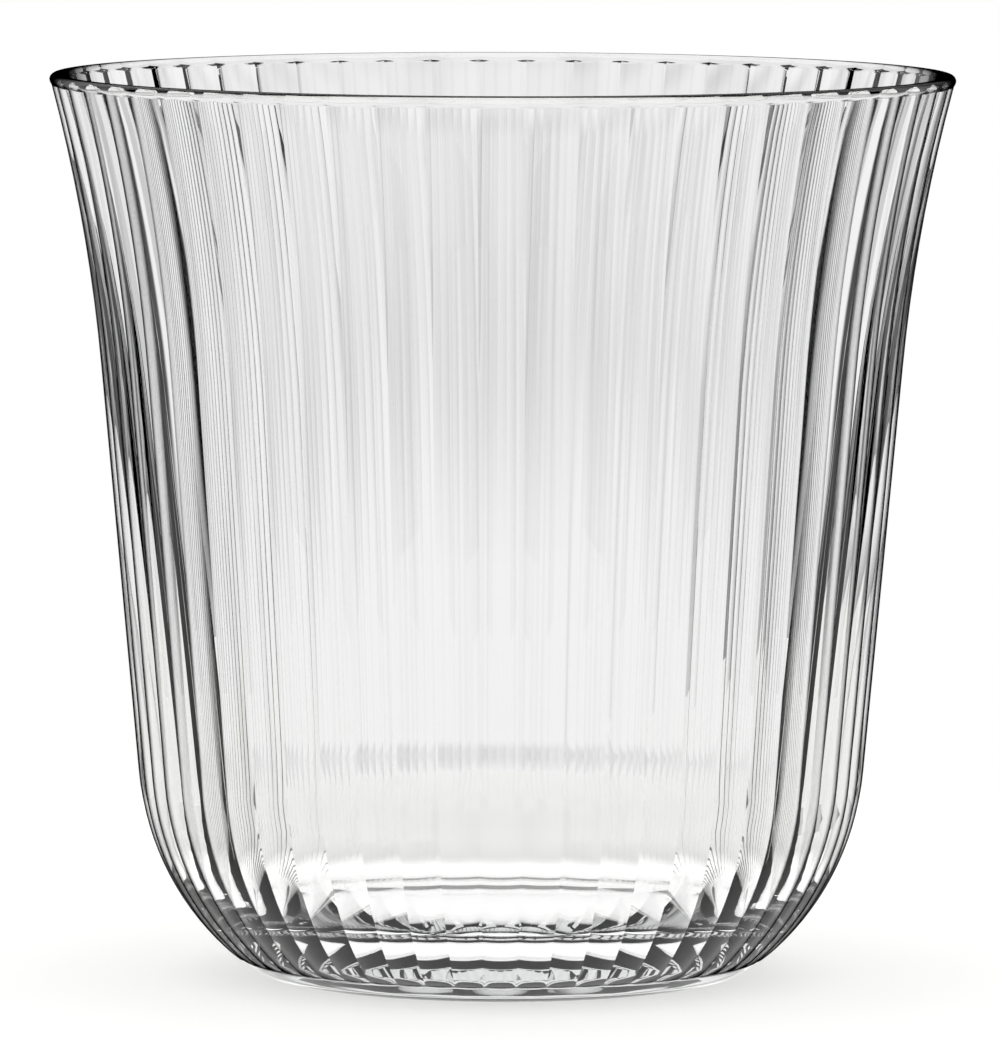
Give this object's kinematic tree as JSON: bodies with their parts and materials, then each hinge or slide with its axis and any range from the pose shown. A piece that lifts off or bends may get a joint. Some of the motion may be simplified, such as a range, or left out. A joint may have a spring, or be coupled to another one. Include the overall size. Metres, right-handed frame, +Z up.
{
  "type": "chai glass",
  "caption": "Clear ribbed tumbler for tea: straight tapered body, flared mouth with a round lip, rounded heel and a thick floor on a ring foot.",
  "frame": {"origin": "centre of the foot, on the plane that the glass stands on", "axes": "+Z up the axis of the glass, from the foot to the mouth; +X and +Y across it, with a reed's crest on +X"},
  "size_m": [0.09, 0.09, 0.09],
  "materials": {
    "clear_glass": "pressed and fire polished clear soda-lime glass"
  },
  "bodies": {
    "root": {"glass_body": "clear_glass"}
  },
  "joints": []
}
